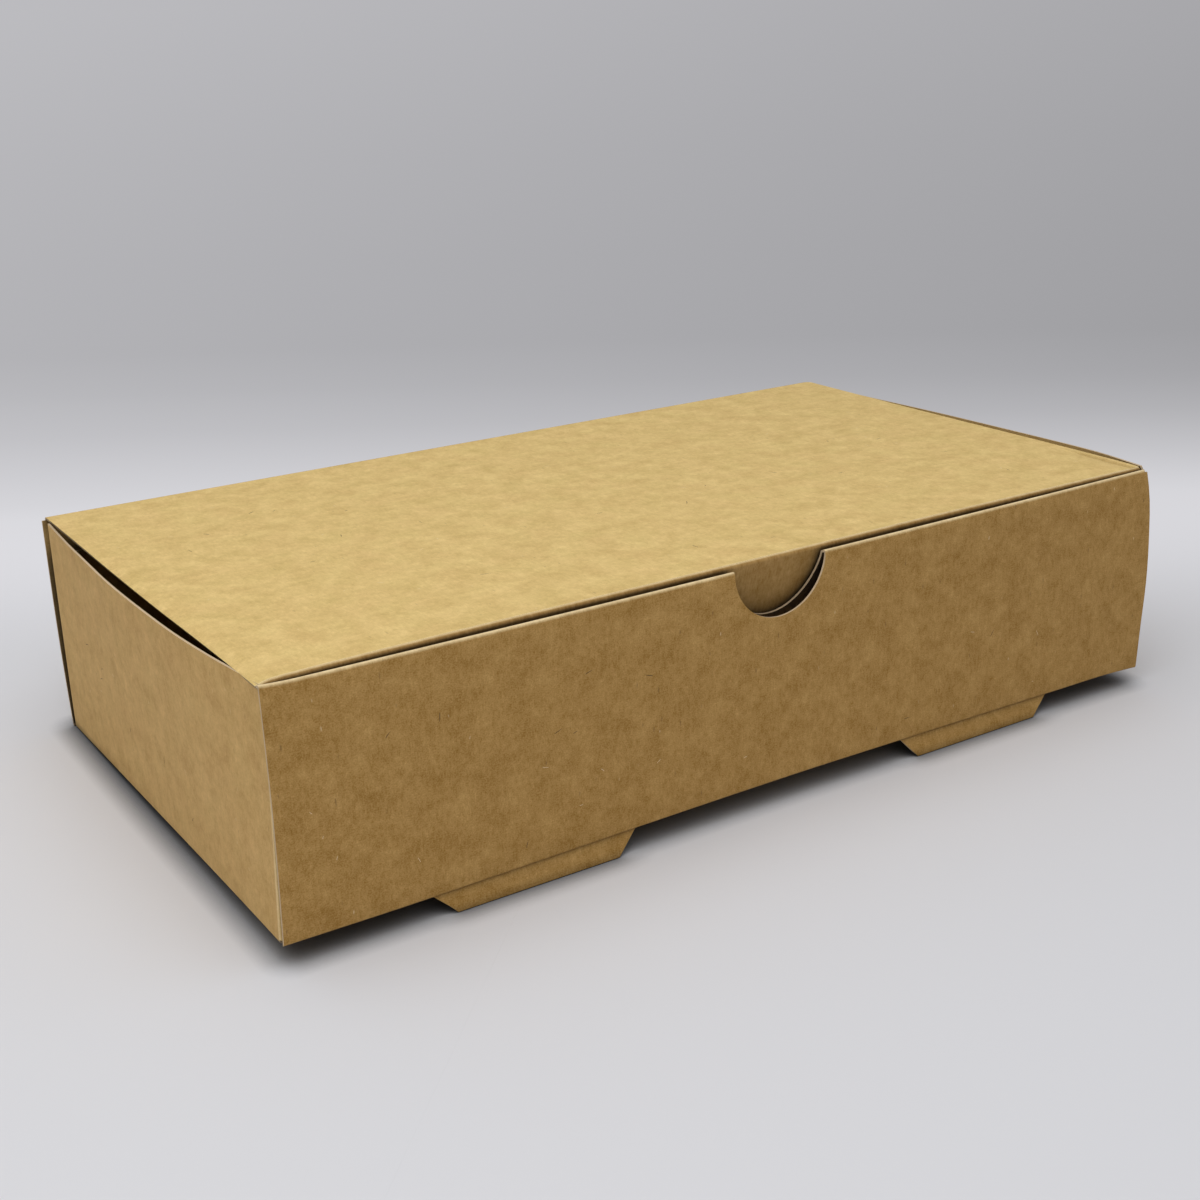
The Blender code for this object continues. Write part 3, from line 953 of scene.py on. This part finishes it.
@dataclass
class Tray(Assembly):
    """Base, roll-over front, side walls and front corner flaps, which stay folded."""

    wall_finish: Material
    # Material of the roll's hidden inside, which carries a dark band of painted shade.
    roll_inside_shade_finish: Material
    side_finish: Material
    inside_finish: Material
    fibres: Sequence[Fibre]
    ridge_tilt: float = math.radians(16)
    raw_end: float = 0.2 * MM
    inner_short: float = 0.9 * MM
    tab_lean: float = math.radians(12)
    tab_clear: float = 0.008 * MM
    inner_shift: float = 0.5 * MM
    bend_steps: int = 6
    wall_steps: int = 14
    bow_steps: int = 30
    notch_steps: int = 48
    right_reaches: tuple[float, ...] = (4, 8, 12)
    left_reaches: tuple[float, ...] = (3, 5, 7)
    column_clear: float = 1.2 * MM
    notch_clear: float = 0.1 * MM
    fibre_span: float = 0.96
    body: str = "tray"

    def notch_places(self) -> list[float]:
        """Finds the places along X that resolve the thumb notch.

        Returns:
            The places.
        """
        plan = self.plan
        start = math.asin((plan.ridge_top - plan.ridge_bend) / plan.notch)
        return [-plan.notch * math.cos(turn) for turn in spread(start, math.pi - start, self.notch_steps)]

    def layer_top(self, x: float, level: float) -> float:
        """Upper edge of a layer of the roll: a level, or the notch's half-round.

        Args:
            x: The place along the carton.
            level: The level.

        Returns:
            The edge's height.
        """
        plan = self.plan
        if abs(x) >= plan.notch:
            return level
        return min(level, plan.ridge_top - math.sqrt(plan.notch**2 - x**2))

    def places(self, tabs: Sequence[float]) -> list[float]:
        """Chooses where the roll's columns stand along X.

        Args:
            tabs: The places of the tabs' corners.

        Returns:
            The places, in order.
        """
        plan = self.plan
        fixed = [
            *tabs, *self.notch_places(), self.raw_end - plan.half_length, plan.half_length,
            -plan.ridge_half + self.inner_short, plan.ridge_half - self.inner_short, plan.ridge_half,
        ]
        fixed += [plan.half_length - reach * MM for reach in self.right_reaches]
        fixed += [reach * MM - plan.half_length for reach in self.left_reaches]
        even = spread(-plan.half_length, plan.half_length, 2 * self.bow_steps)
        even = [x for x in even if abs(x) > plan.notch]
        clear = [x for x in even if min(abs(x - place) for place in fixed) > self.column_clear]
        return sorted([*fixed, *clear])

    def roll(self) -> Object:
        """The front: outer layer, ridge, inner layer and lock tabs in one folded sheet.

        Returns:
            The piece.
        """
        plan = self.plan
        root, tip = plan.tab_root / 2, plan.tab_tip / 2
        middles = (-plan.tab_spacing / 2, plan.tab_spacing / 2)
        tabs = [middle + sign * reach for middle in middles for sign in (-1, 1) for reach in (tip, root)]
        columns = [self.roll_column(x) for x in self.places(tabs)]
        piece = self.board.panel("front_roll", columns, self.wall_finish, "kraft_board", self.roll_inside_shade_finish)
        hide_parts("front_outer_wall", "front_ridge_left", "front_ridge_right", "front_inner_wall")
        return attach(piece, self.body)

    def outer_rows(self, top: float) -> list[Bend]:
        """Traces the outer layer from the base's edge upwards.

        Args:
            top: How high it reaches.

        Returns:
            The cross-section.
        """
        plan = self.plan
        low = plan.floor_level + plan.tight
        outer = plan.front + plan.board / 2
        turn = Turn(-math.pi / 2, plan.tight, self.bend_steps)
        section = trace((outer + plan.tight, plan.floor_level), math.pi, [turn])
        reached = section[-1][2]
        return section + [(outer, z, reached + z - low) for z in spread(low, top, self.wall_steps)[1:]]

    def roll_column(self, x: float) -> Column:
        """One line down the roll.

        Args:
            x: Its place along the carton.

        Returns:
            The column of points, with None where the board is cut away.
        """
        plan = self.plan
        open_notch = abs(x) < plan.notch - self.notch_clear
        inside = abs(x) <= plan.ridge_half - self.inner_short + HAIR
        section = self.outer_rows(self.layer_top(x, plan.ridge_bend))
        reached = self.outer_rows(plan.ridge_bend)[-1][2]
        tilt = self.ridge_tilt
        flat = (plan.ridge_width - plan.board - 2 * plan.tight) / math.cos(tilt)
        over = trace((plan.front + plan.board / 2, plan.ridge_bend), math.pi / 2, [
            Turn(-math.pi / 2 - tilt, plan.tight, self.bend_steps), Run(flat, 2),
            Turn(tilt - math.pi / 2, plan.tight, self.bend_steps),
        ])
        split = self.bend_steps + 3
        column: Column = [self.spot(x, y, z, d) for y, z, d in section]
        for rows, missing in (
            (over[1:split], open_notch or x > plan.ridge_half + HAIR),
            (over[split:-1], open_notch or not inside),
        ):
            column += [None if missing else self.spot(x, y, z, reached + d) for y, z, d in rows]
        end_y, end_z, end_d = over[-1]
        shoulder = plan.floor_level + plan.board + plan.tab_shoulder
        share = 1 - (x / plan.half_length) ** 4
        off = self.inner_shift * max(1 - (x / plan.notch) ** 2, 0)
        top = self.layer_top(x - off, end_z) - off
        for z in spread(top, shoulder, self.wall_steps) + [plan.floor_level + plan.tight, self.foot(x)]:
            height = clamp((z - shoulder) / (end_z - shoulder))
            bulge = self.settling.inner_bulge * share * math.sin(math.pi * height)
            forward = max(shoulder - z, 0) * math.tan(self.tab_lean)
            y = end_y + bulge - forward
            column.append(self.spot(x, y, z, reached + end_d + end_z - z) if inside else None)
        return column

    def foot(self, x: float) -> float:
        """Lower edge of the inner layer: level between the tabs, with slanted tab ends.

        Args:
            x: The place along the carton.

        Returns:
            The edge's height.
        """
        plan = self.plan
        root, tip = plan.tab_root / 2, plan.tab_tip / 2
        slant = clamp((abs(abs(x) - plan.tab_spacing / 2) - tip) / (root - tip))
        tip_level = plan.board / 2 * math.sin(self.tab_lean) + self.tab_clear
        return tip_level + (plan.floor_level + plan.tight - tip_level) * slant

    def spot(self, x: float, y: float, z: float, distance: float) -> Spot:
        """A settled point of the roll with its place on the blank."""
        moved = self.settling.front_offset(x, z) if z > self.plan.underside else Vector()
        return Vector((x, y, z)) + moved, (x, -distance)

    def base_front(self, x: float) -> float:
        """The base's front edge, which is cut back at the tabs' slots.

        Args:
            x: The place along the carton.

        Returns:
            The edge's place across the carton.
        """
        plan = self.plan
        crease = plan.front + plan.board / 2 + plan.tight
        slot = plan.front + plan.ridge_width + plan.crease_gap
        beyond = abs(abs(x) - plan.tab_spacing / 2) - plan.tab_root / 2 - plan.slot_play
        return slot + (crease - slot) * clamp(beyond / (slot - crease))

    def base(self) -> Object:
        """The floor, with its front edge cut back at the tabs' slots.

        Returns:
            The piece.
        """
        plan = self.plan
        half = plan.tab_root / 2 + plan.slot_play
        middle = plan.tab_spacing / 2
        slope = plan.ridge_width + plan.crease_gap - plan.board / 2 - plan.tight
        corners = [
            side * (middle + sign * (half + reach))
            for side in (-1, 1) for sign in (-1, 1) for reach in (0, slope)
        ]
        side = plan.wall_x - plan.tight
        columns = []
        for x in sorted({*corners, *spread(-side, side, 2 * self.bow_steps)}):
            front = self.base_front(x)
            depth = plan.base_rear - front
            levels = [front + depth * step**1.5 for step in spread(0, 1, 2 * self.wall_steps)]
            columns.append([(self.settling.base(x, y, plan.floor_level), (x, y)) for y in levels])
        piece = self.board.panel("base", columns, self.inside_finish, "kraft_board")
        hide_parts("base_panel")
        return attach(piece, self.body)

    def side_columns(self, side: Side) -> list[Column]:
        """Columns of a side wall, from its front crease to its rear one.

        Args:
            side: The wall's end of the carton.

        Returns:
            The columns.
        """
        plan = self.plan
        level = plan.floor_level
        height = plan.side_top - level - plan.tight
        section = trace((plan.wall_x - plan.tight, level), 0.0, [
            Turn(math.pi / 2, plan.tight, self.bend_steps), Run(height, self.wall_steps),
        ])
        places = spread(plan.front_corner, plan.rear_corner, self.bow_steps)
        places.insert(1, plan.front_corner + plan.board)
        columns = []
        for y in places:
            top = plan.side_top if y > plan.front_corner else plan.ridge_top - plan.board - plan.tight
            column = []
            for run, z, d in section:
                point = Vector((side.value * run, y, min(z, top)))
                column.append((point + self.settling.side_offset(side, y, z), (side.value * (run + d), y)))
            columns.append(column)
        return columns

    def side_wall(self, side: Side) -> list[Object]:
        """A bowed end wall with its base crease, and the stray fibres on its face.

        Args:
            side: The wall's end of the carton.

        Returns:
            The pieces.
        """
        columns = self.side_columns(side)
        piece = self.board.panel(f"{side.word}_side", columns, self.side_finish, "kraft_board")
        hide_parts(f"{side.word}_side_wall")
        face = [column[self.bend_steps + 2:-4] for column in columns[3:-2]]
        outward = (side.value, 0, 0)
        strewn = self.board.strew(f"{side.word}_side", face, outward, "kraft_board", self.fibres)
        return [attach(each, self.body) for each in (piece, *strewn)]

    def front_flap(self, side: Side) -> Object:
        """The corner flap held in the roll, bent off the side wall.

        Args:
            side: The flap's end of the carton.

        Returns:
            The piece.
        """
        node = f"{side.word}_front_corner_flap"
        columns = corner_flap_columns(self.plan, self.settling, side, node, -1)
        piece = self.board.panel(f"{side.word}_front_flap", columns, self.side_finish, "kraft_flap")
        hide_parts(node)
        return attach(piece, self.body)

    def front_fibres(self) -> list[Object]:
        """Stray fibres on the outer face of the front.

        Returns:
            The pieces.
        """
        half = self.plan.half_length
        rows = self.outer_rows(self.plan.ridge_bend - self.plan.notch)[self.bend_steps + 1:]
        shares = spread(-self.fibre_span, self.fibre_span, 48)
        columns = [[self.spot(share * half, y, z, d) for y, z, d in rows] for share in shares]
        strewn = self.board.strew("front", columns, (0, -1, 0), "kraft_board", self.fibres)
        return [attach(each, self.body) for each in strewn]

    def build(self) -> list[Object]:
        """Makes the tray's pieces.

        Returns:
            The pieces.
        """
        pieces = [self.base(), self.roll(), *self.front_fibres()]
        for side in Side:
            pieces += [*self.side_wall(side), self.front_flap(side)]
        return pieces


def corner_flap_columns(plan: Plan, settling: Settling, side: Side, node: str, towards: int) -> list[Column]:
    """Columns of a corner flap, from the side wall's crease to its tip.

    Args:
        plan: The carton's places.
        settling: How it has settled.
        side: The flap's end of the carton.
        node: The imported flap.
        towards: -1 for a front flap, 1 for a rear one.

    Returns:
        The columns, one for each distance from the crease.
    """
    low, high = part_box(node)
    corner = plan.front_corner if towards < 0 else plan.rear_corner
    reach = (high.x - low.x) - plan.soft - plan.board / 2
    taper = FLAP_TAPER
    crease_top = plan.ridge_top - plan.board - plan.tight if towards < 0 else high.z
    moves = [Turn(math.pi / 2, plan.soft, 8), Run(reach - taper, 8), Run(taper, 3)]
    section = trace((0.0, 0.0), math.pi / 2, moves)
    full = section[-1][2]
    columns = []
    for inward, forward, d in section:
        cut = max(d - (full - taper), 0)
        near = clamp(1 - d / (plan.soft * 4))
        top = high.z + (crease_top - high.z) * near - cut
        column = []
        for z in spread(low.z + cut, top, 10):
            point = Vector((side.value * (plan.wall_x + inward), corner + towards * forward, z))
            held = settling.front_offset(point.x, z) if towards < 0 else Vector()
            point += held.lerp(settling.side_offset(side, corner, z), near)
            column.append((point, (side.value * (z + FLAP_START), corner + d * towards)))
        columns.append(column)
    return columns


@dataclass
class RearFlaps(Assembly):
    """The corner flaps tucked inside the back wall, each turning on its own crease."""

    # The flaps' material, with deeper painted shade.
    finish: Material

    def build(self) -> list[Object]:
        """Makes both flaps.

        Returns:
            The pieces.
        """
        pieces = []
        plan = self.plan
        for side in Side:
            node = f"{side.word}_rear_corner_flap"
            columns = corner_flap_columns(plan, self.settling, side, node, 1)
            piece = self.board.panel(f"{side.word}_rear_flap_board", columns, self.finish, "kraft_flap")
            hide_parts(node)
            pieces.append(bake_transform(piece))
        return pieces


@dataclass
class BackWall(Assembly):
    """The back wall between its two hinge creases."""

    finish: Material
    # Material of its inner face, with deeper painted shade.
    inner_finish: Material
    lid_span: Flat
    steps: int = 8

    def columns(self, section: list[Bend], span: Flat) -> list[Column]:
        """Columns that follow a cross-section, from one end of the span along X to the other."""
        settled = self.settling.back_wall
        return [[(settled(x, y, z), (x, BACK_START + d)) for y, z, d in section] for x in spread(*span, 24)]

    def build(self) -> list[Object]:
        """Makes the wall and the two creases that it turns on.

        Returns:
            The pieces.
        """
        plan = self.plan
        (base_y, base_z), (lid_y, lid_z) = plan.base_axis, plan.lid_axis
        turn = math.pi / 2 - plan.lean
        foot = trace((plan.base_rear, base_z), 0.0, [Turn(turn, plan.soft, self.steps)])
        rise = math.hypot(lid_y - base_y, lid_z - base_z)
        straight = rise - (base_y - plan.base_rear) - (lid_y - plan.lid_rear)
        wall = trace(foot[-1][:2], turn, [Run(straight, 2 * self.steps)])
        head = trace(wall[-1][:2], turn, [Turn(math.pi / 2 + plan.lean, plan.soft, self.steps)])
        full = (-plan.half_length, plan.half_length)
        pieces = []
        for name, section, span, bodies in (
            ("base_rear_crease", foot, full, ("tray", "rear_wall")),
            ("back_wall_board", wall, full, None),
            ("lid_rear_crease", head, self.lid_span, ("rear_wall", "lid")),
        ):
            columns = self.columns(section, span)
            piece = self.board.panel(name, columns, self.finish, "kraft_board", self.inner_finish)
            if bodies:
                start, end = (Vector((0, *point[:2])) for point in (section[0], section[-1]))
                pieces.append(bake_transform(piece, *bodies, start=start, end=end))
            else:
                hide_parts("back_wall")
                pieces.append(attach(piece, "rear_wall"))
        return pieces


@dataclass
class Lid(Assembly):
    """The top, raw at both ends, with its tuck flap."""

    top_finish: Material
    flap_finish: Material
    # Material of the lid's cut edges, a darker copy painted as shade.
    cut_finish: Material
    fibres: Sequence[Fibre]
    corner_radius: float = 1.6 * MM
    tuck_depth: float = 25 * MM
    tuck_end: float = 0.7 * MM
    tuck_corner: float = 12 * MM
    tuck_lean: float = math.radians(14)
    tuck_soft: float = 0.5 * MM
    fold_reach: float = 0.8 * MM
    crown: float = 0.4 * MM
    crown_fade: float = 0.6
    curl_reaches: tuple[float, ...] = (0.6, 1.3, 2.1, 3, 4.2)
    spread_reaches: tuple[float, ...] = (4, 8)
    steps: int = 8

    @property
    def rear_span(self) -> Flat:
        """The ends of the lid's rear crease, the right one beside its rounded corner."""
        return -self.plan.lid_half, self.plan.lid_half - self.corner_radius

    @property
    def fold(self) -> float:
        """Where the lid's front fold starts."""
        return self.plan.tuck_axis[0] - self.fold_reach

    def settled(self, x: float, y: float, z: float) -> Vector:
        """A settled point of the lid or its flap."""
        return self.settling.lid(x, y, z, self.fold)

    def top(self) -> list[Object]:
        """The lid's panel, sagging a trifle between its creases, and the fibres on it.

        Returns:
            The pieces.
        """
        plan = self.plan
        half = plan.lid_half
        front, rear = self.fold, plan.lid_rear
        radius = self.corner_radius
        corner = [half - radius + radius * math.sin(turn) for turn in spread(0, math.pi / 2, 6)]
        corner += [-half + reach * MM for reach in self.curl_reaches]
        corner += [half - reach * MM for reach in self.spread_reaches]
        columns = []
        for x in sorted({*spread(-half, half - radius, 40), *corner}):
            beyond = max(x - half + radius, 0)
            back = rear - radius + math.sqrt(max(radius**2 - beyond**2, 0))
            column = []
            for step in spread(0, 1, 30):
                y = front + (back - front) * step
                sag = -self.crown * 4 * step * (1 - step) * (1 - self.crown_fade * (x / half) ** 4)
                column.append((self.settled(x, y, plan.lid_axis[1] + sag), (x, LID_START + rear - y)))
            columns.append(column)
        piece = self.board.panel("lid_top", columns, self.top_finish, "kraft_lid", cut=self.cut_finish)
        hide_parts("lid_panel")
        face = [column[3:-3] for column in columns[6:-10]]
        strewn = self.board.strew("lid", face, (0, 0, 1), "kraft_lid", self.fibres)
        return [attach(each, "lid") for each in (piece, *strewn)]

    def tuck(self) -> Object:
        """The front flap with its crease and its two rounded corners.

        Returns:
            The piece.
        """
        plan = self.plan
        turn = math.pi / 2 + self.tuck_lean
        front, level = self.fold, plan.lid_axis[1]
        radius = self.tuck_corner
        straight = plan.lid_half - self.tuck_end - radius
        rounded = [straight + radius * math.sin(angle) for angle in spread(0, math.pi / 2, 10)]
        places = sorted({*spread(-straight, straight, 30), *rounded[1:], *(-x for x in rounded[1:])})
        columns = []
        for x in places:
            cut = radius - math.sqrt(max(radius**2 - max(abs(x) - straight, 0) ** 2, 0))
            length = self.tuck_depth - self.tuck_soft * turn - cut
            moves = [Turn(turn, self.tuck_soft, self.steps), Run(length, 8)]
            section = trace((front, level), math.pi, moves)
            columns.append([(self.settled(x, y, z), (x, TUCK_START + d)) for y, z, d in section])
        piece = self.board.panel("tuck_flap_board", columns, self.flap_finish, "kraft_flap")
        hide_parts("lid_tuck_flap")
        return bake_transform(piece)

    def build(self) -> list[Object]:
        """Makes the lid's pieces."""
        return [*self.top(), self.tuck()]


@dataclass
class Studio:
    """Pale floor, soft light and the camera at the photograph's angle."""

    plan: Plan
    focal_px: float = 1698.68
    image_px: float = 1200.0
    sensor_mm: float = 36.0
    camera_at: Place = (-211.87 * MM, -320.93 * MM, 165.08 * MM)
    turn: float = math.radians(33.018)
    tilt: float = math.radians(19.472)
    roll: float = math.radians(-1.48)
    floor_reach: float = 30.0
    key_at: Place = (-0.2, -0.17, 0.6)
    key_size: float = 0.8
    key_watts: float = 2.75
    key_tint: Colour = (1.0, 0.985, 0.955)
    sky: Colour = (0.97, 0.98, 1.0)
    sky_strength: Flat = (0.2, 0.64)
    paper: Colour = (0.72, 0.725, 0.76)
    # Reach and power of the carton's contact shadow painted into the paper.
    painted_contact_shadow_reach: float = 6.5 * MM
    painted_contact_shadow_depth: float = 2.2
    backdrop: tuple[Flat, ...] = (
        (0.0, 0.45), (0.08, 0.42), (0.14, 0.405), (0.19, 0.40), (0.214, 0.43), (0.238, 0.49), (0.263, 0.585),
        (0.29, 0.69), (0.33, 0.71),
    )
    backdrop_tint: Colour = (1.0, 0.995, 1.04)
    swing_range: tuple[float, float, float, float] = (0.22, 0.28, 0.36, 0.06)
    sweep_turn: float = math.radians(33.0)
    sweep_middle: Place = (-0.0545, -0.0838, 0.165)
    sweep_clear: float = 0.2845
    sweep_squeeze: float = 0.3
    swing_limits: Flat = (0.75, 1.25)
    far_share: Flat = (0.30, 0.38)

    def floor(self) -> Object:
        """The floor that the tabs and the rear crease rest on.

        Returns:
            The floor.
        """
        plan = self.plan
        tab_y = plan.front + plan.ridge_width
        slope = plan.underside / (plan.base_axis[0] - tab_y)
        grid = bmesh.new()
        reach = self.floor_reach
        corners = [(-reach, -reach), (reach, -reach), (reach, reach), (-reach, reach)]
        grid.faces.new([grid.verts.new((x, y, (y - tab_y) * slope)) for x, y in corners])
        mesh = bpy.data.meshes.new("floor")
        grid.to_mesh(mesh)
        grid.free()
        floor = placed("floor", mesh)
        mesh.materials.append(self.floor_material())
        return floor

    def floor_material(self) -> Material:
        """Pale, matt paper that takes the backdrop's tone in a wide oval round the carton, with the carton's
        contact shadow painted into its colour.

        Returns:
            The material.
        """
        made, graph, shader = shaded("studio_paper")
        place = graph.add("ShaderNodeTexCoord").outputs["Object"]
        away = graph.vector("SUBTRACT", place, self.sweep_middle)
        glow, nearness = self.glow(graph, away, self.sweep_clear)
        share = graph.remap(nearness, *self.far_share, 1.0, 0.0, smooth=True)
        share = graph.math("MULTIPLY", share, self.seen(graph))
        lit = graph.add("ShaderNodeEmission", {"Color": glow}).outputs[0]
        mixed = graph.add("ShaderNodeMixShader", {0: share, 1: shader.outputs[0], 2: lit})
        graph.link(mixed.outputs[0], made.node_tree.nodes["Material Output"], "Surface")
        # The carton's contact shadow is painted into the paper's colour by ambient occlusion.
        body = paint_shade_in_recesses(graph, self.paper, self.painted_contact_shadow_reach, self.painted_contact_shadow_depth)
        graph.link(body, shader, "Base Color")
        shader.inputs["Roughness"].default_value = 0.9
        shader.inputs["Specular IOR Level"].default_value = 0.2
        return made

    def glow(
        self, graph: Graph, away: Socket, clear: float = 0.0
    ) -> tuple[Socket, Socket]:
        """The backdrop's tone in a direction of the world, or at a place of the floor.

        Args:
            graph: The material's or the world's graph.
            away: The direction, or the place as seen from the middle of the paper sweep.
            clear: A length added to the place's distance.

        Returns:
            Its colour, and its nearness: 0 at the horizon.
        """
        east, north = math.sin(self.sweep_turn), math.cos(self.sweep_turn)
        ahead = graph.vector("DOT_PRODUCT", away, (east, north, 0.0))
        aside = graph.vector("DOT_PRODUCT", away, (north, -east, 0.0))
        inputs = {0: ahead, 1: graph.math("MULTIPLY", aside, self.sweep_squeeze)}
        reach = graph.vector("LENGTH", graph.add("ShaderNodeCombineXYZ", inputs).outputs[0])
        reach = graph.math("ADD", reach, clear)
        aside = graph.math("DIVIDE", aside, reach)
        nearness = graph.math("DIVIDE", graph.vector("DOT_PRODUCT", away, (0.0, 0.0, -1.0)), reach)
        ramp = graph.add("ShaderNodeValToRGB", {0: nearness})
        stops = ramp.color_ramp.elements
        ends = self.backdrop[0], self.backdrop[-1]
        for stop, (position, tone) in zip((stops[0], stops[1]), ends):
            stop.position, stop.color = position, (tone, tone, tone, 1.0)
        for position, tone in self.backdrop[1:-1]:
            stops.new(position).color = (tone, tone, tone, 1.0)
        swing = graph.remap(nearness, *self.swing_range)
        tone = graph.math("SUBTRACT", 1.0, graph.math("MULTIPLY", aside, swing))
        darkest, brightest = self.swing_limits
        tone = graph.math("MINIMUM", graph.math("MAXIMUM", tone, darkest), brightest)
        tinted = graph.vector("MULTIPLY", ramp.outputs[0], self.backdrop_tint)
        return graph.vector("SCALE", tinted, scale=tone), nearness

    @staticmethod
    def seen(graph: Graph) -> Socket:
        """Tells what is seen, directly, in a mirror or through glass, from the light that it sheds.

        Args:
            graph: The material's or the world's graph.

        Returns:
            1 where it is seen, and 0 for its light.
        """
        path = graph.add("ShaderNodeLightPath").outputs
        mirrored = graph.math("MAXIMUM", path["Is Glossy Ray"], path["Is Transmission Ray"])
        return graph.math("MAXIMUM", path["Is Camera Ray"], mirrored)

    def world(self) -> bpy.types.World:
        """Soft light that comes mostly from above, with the backdrop's tone where it is seen.

        Returns:
            The world.
        """
        made = bpy.data.worlds.new("studio")
        made.use_nodes = True
        graph = Graph(made.node_tree)
        light = made.node_tree.nodes["Background"]
        light.inputs["Color"].default_value = (*self.sky, 1.0)
        place = graph.add("ShaderNodeTexCoord").outputs["Generated"]
        height = graph.add("ShaderNodeSeparateXYZ", {0: place}).outputs[2]
        strength = graph.remap(height, 0.0, 1.0, *self.sky_strength)
        graph.link(strength, light, "Strength")
        wall = graph.add("ShaderNodeBackground", {"Color": self.glow(graph, place)[0]})
        inputs = {0: self.seen(graph), 1: light.outputs[0], 2: wall.outputs[0]}
        mixed = graph.add("ShaderNodeMixShader", inputs)
        graph.link(mixed.outputs[0], made.node_tree.nodes["World Output"], "Surface")
        return made

    def lamp(self) -> None:
        """Adds a soft square lamp aimed at the carton."""
        light = bpy.data.lights.new("key_lamp", "AREA")
        light.size, light.energy, light.color = self.key_size, self.key_watts, self.key_tint
        lamp = placed("key_lamp", light)
        lamp.location = self.key_at
        lamp.rotation_euler = (-Vector(self.key_at)).to_track_quat("-Z", "Y").to_euler()

    def camera(self) -> None:
        """Adds the camera at the photograph's place and angle."""
        data = bpy.data.cameras.new("photo_camera")
        data.sensor_width = self.sensor_mm
        data.lens = self.focal_px / self.image_px * self.sensor_mm
        data.clip_start, data.clip_end = 0.01, 50.0
        camera = placed("photo_camera", data)
        level = math.cos(self.tilt)
        forward = Vector((math.sin(self.turn) * level, math.cos(self.turn) * level, -math.sin(self.tilt)))
        aim = forward.to_track_quat("-Z", "Y").to_matrix() @ Matrix.Rotation(self.roll, 3, "Z")
        camera.matrix_world = Matrix.Translation(self.camera_at) @ aim.to_4x4()
        bpy.context.scene.camera = camera

    def build(self) -> None:
        """Sets the stage."""
        self.floor()
        self.camera()
        self.lamp()
        bpy.context.scene.world = self.world()
        bpy.context.scene.view_settings.view_transform = "Standard"


def main() -> None:
    """Builds the carton and the studio."""
    logging.basicConfig(level=logging.INFO, format="%(name)s: %(message)s")
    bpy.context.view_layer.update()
    plan = Plan.from_frame()
    board = Board(plan)
    settling = Settling(plan)
    front_crease = -(plan.ridge_bend - plan.floor_level + 1.5 * plan.tight)
    ridge_middle = front_crease - 0.35 * MM
    # The lid's pale band at its front fold is crease wear with a painted highlight.
    lid_edge = LID_START + plan.lid_rear - plan.tuck_axis[0] + Lid.fold_reach
    roll_edge = front_crease - plan.ridge_width - 7 * MM
    # The side, front and tuck flap finishes are copies of the lid's board set darker for the shade on each
    # panel: painted shade, darkest on the front and the tuck flap.
    lid_kraft = KraftFinish(
        (0.70, 0.518, 0.198), (0.71, 0.493, 0.198), streak=0.14,
        creases=(lid_edge,), crease_width=0.4 * MM, wear_and_painted_light=(0.80, 0.64, 0.36),
    ).material("kraft_lid_board")
    # The pale band along the ridge is crease wear with a painted highlight on the ridge's edge.
    front = KraftFinish(
        (0.425, 0.246, 0.069), (0.42, 0.24, 0.069), contrast=0.58, streak=0.22, fine=0.4, marks=0.6,
        warmth=0.15, creases=(ridge_middle,), crease_width=0.68 * MM, wear_and_painted_light=(0.94, 0.78, 0.48),
    )
    front_kraft_shaded = front.material("kraft_front_board")
    # The roll's hidden inside gets a dark band of painted shade, laid on twice, because one coat leaves it
    # too pale beside the notch.
    roll_inside_shade_kraft = replace(
        front, creases=(roll_edge, roll_edge), crease_width=15 * MM, wear_and_painted_light=(0.018, 0.009, 0.005)
    ).material("kraft_roll_inside")
    side = KraftFinish(
        (0.585, 0.38, 0.135), (0.585, 0.36, 0.13), grain=(0.3, 1.0), streak=0.12,
        creases=(plan.front_corner,), crease_width=0.5 * MM,
    )
    side_kraft_shaded = side.material("kraft_side_board")
    # The corner flaps and the back wall's inside get deeper painted shade: a longer reach and a stronger
    # power of the recess darkening.
    flap_kraft_deep_shade = replace(side, painted_shade_reach=8 * MM, painted_shade_depth=2.0).material("kraft_flap_board")
    rear_inside_deep_shade = replace(side, painted_shade_reach=6 * MM, painted_shade_depth=3.0).material("kraft_rear_inside")
    inside_kraft = KraftFinish((0.52, 0.34, 0.13), (0.52, 0.33, 0.125)).material("kraft_inside_board")
    tuck_kraft_shaded = KraftFinish(
        (0.38, 0.226, 0.068), (0.38, 0.215, 0.065), streak=0.35, creases=(TUCK_START,)
    ).material("kraft_tuck_board")
    # The lid's cut edges are a darker copy of the cut edge: painted shade.
    lid_cut_shaded = CutEdgeFinish((0.34, 0.24, 0.12)).material("cut_lid_board")
    dark = CutEdgeFinish((0.13, 0.075, 0.03)).material("dark_fibre")
    pale = CutEdgeFinish((0.86, 0.72, 0.48)).material("pale_fibre")
    fibres = (
        Fibre("dark_fibres", dark, 900.0, 1.4 * MM, 0.2 * MM, 11),
        Fibre("pale_fibres", pale, 1500.0, 1.6 * MM, 0.12 * MM, 23),
    )
    lid = Lid(plan, board, settling, lid_kraft, tuck_kraft_shaded, lid_cut_shaded, fibres)
    pieces = Tray(plan, board, settling, front_kraft_shaded, roll_inside_shade_kraft, side_kraft_shaded, inside_kraft, fibres).build()
    pieces += RearFlaps(plan, board, settling, flap_kraft_deep_shade).build()
    pieces += BackWall(plan, board, settling, side_kraft_shaded, rear_inside_deep_shade, lid.rear_span).build()
    pieces += lid.build()
    Studio(plan).build()
    LOG.info("%d pieces", len(pieces))


if __name__ == "__main__":
    main()
